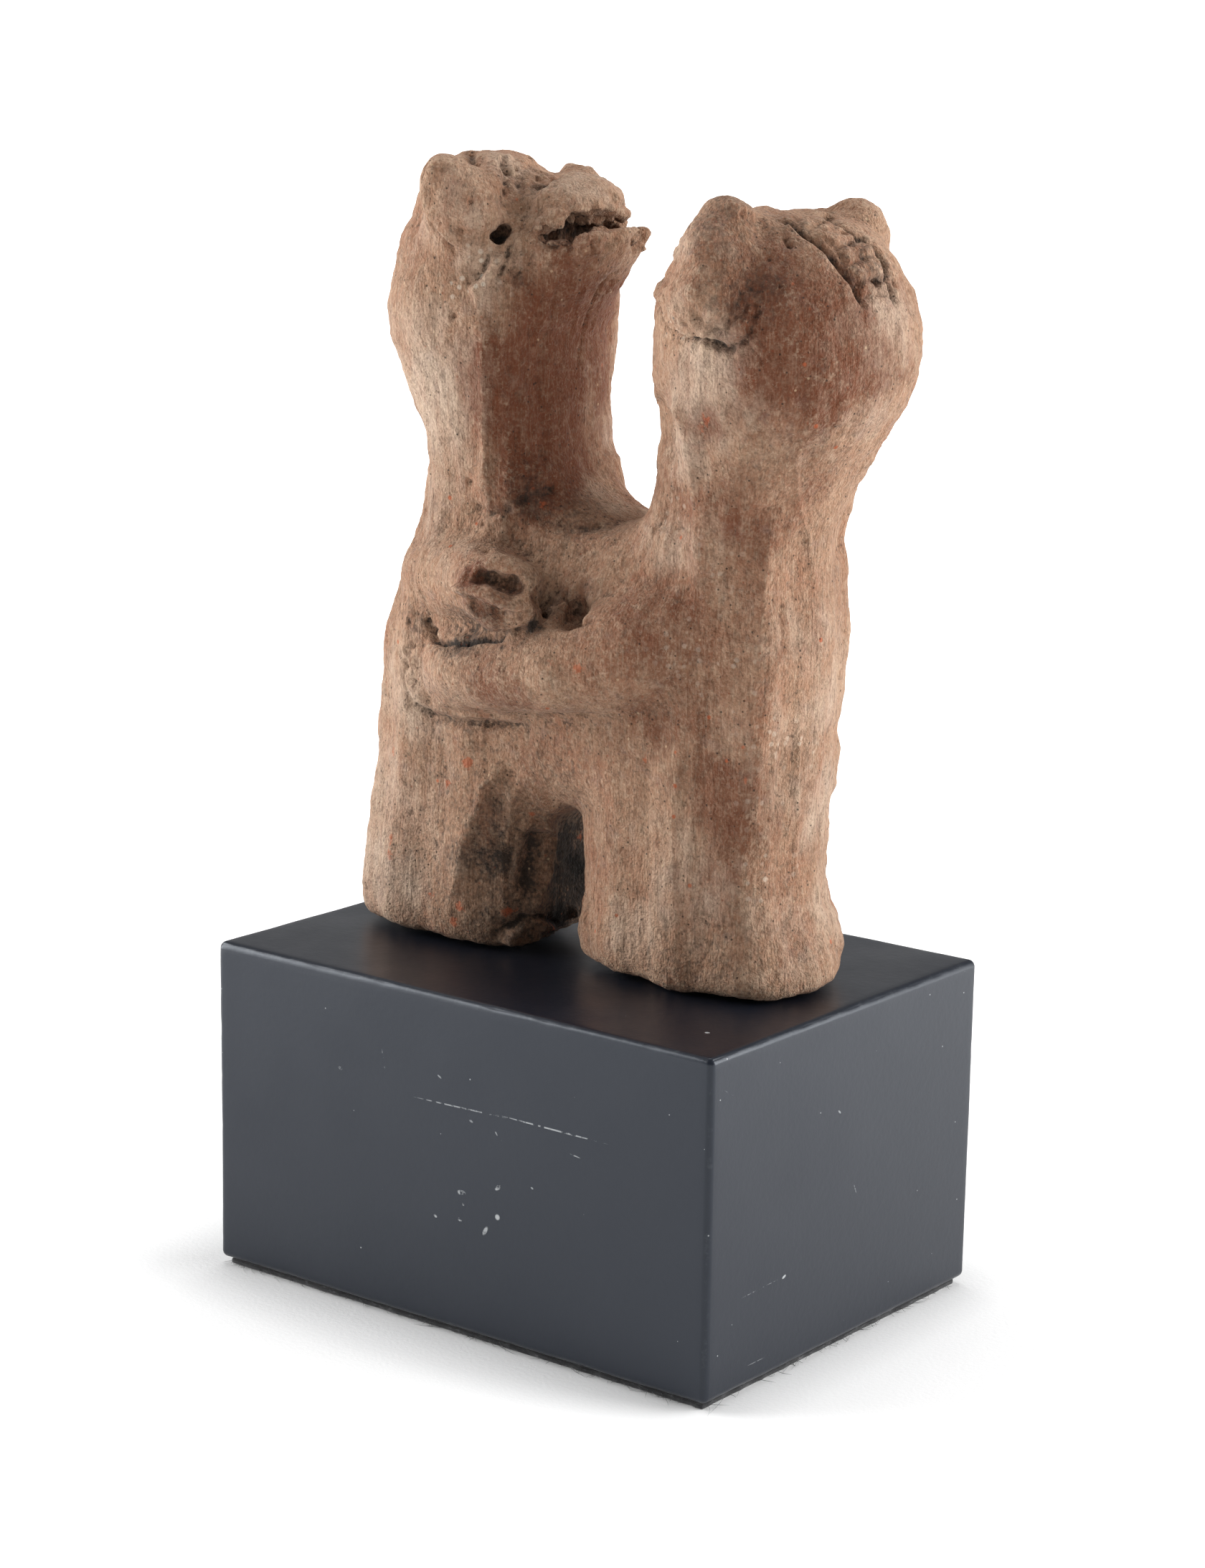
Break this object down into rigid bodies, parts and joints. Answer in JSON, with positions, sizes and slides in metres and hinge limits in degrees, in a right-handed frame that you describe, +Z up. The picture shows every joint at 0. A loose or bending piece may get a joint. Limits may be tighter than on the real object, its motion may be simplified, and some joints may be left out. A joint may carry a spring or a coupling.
{
  "type": "terracotta double figure",
  "caption": "Small terracotta sculpture of two upright animal figures in an embrace, on a black painted wooden block with felt beneath.",
  "frame": {"origin": "centre of the felt's underside, which is the middle of the block's footprint", "axes": "+Z up; +X along the block's long side, from the left figure to the right one; +Y to the far side of the figures in the picture"},
  "size_m": [0.0815, 0.057, 0.1437],
  "materials": {
    "fired_clay": "fired clay, unglazed, pared and brushed, with soot in the hollows",
    "black_paint": "satin black paint",
    "black_felt": "felt"
  },
  "bodies": {
    "root": {"double_figure": "fired_clay", "plinth": "black_paint", "felt_pad": "black_felt"}
  },
  "joints": []
}
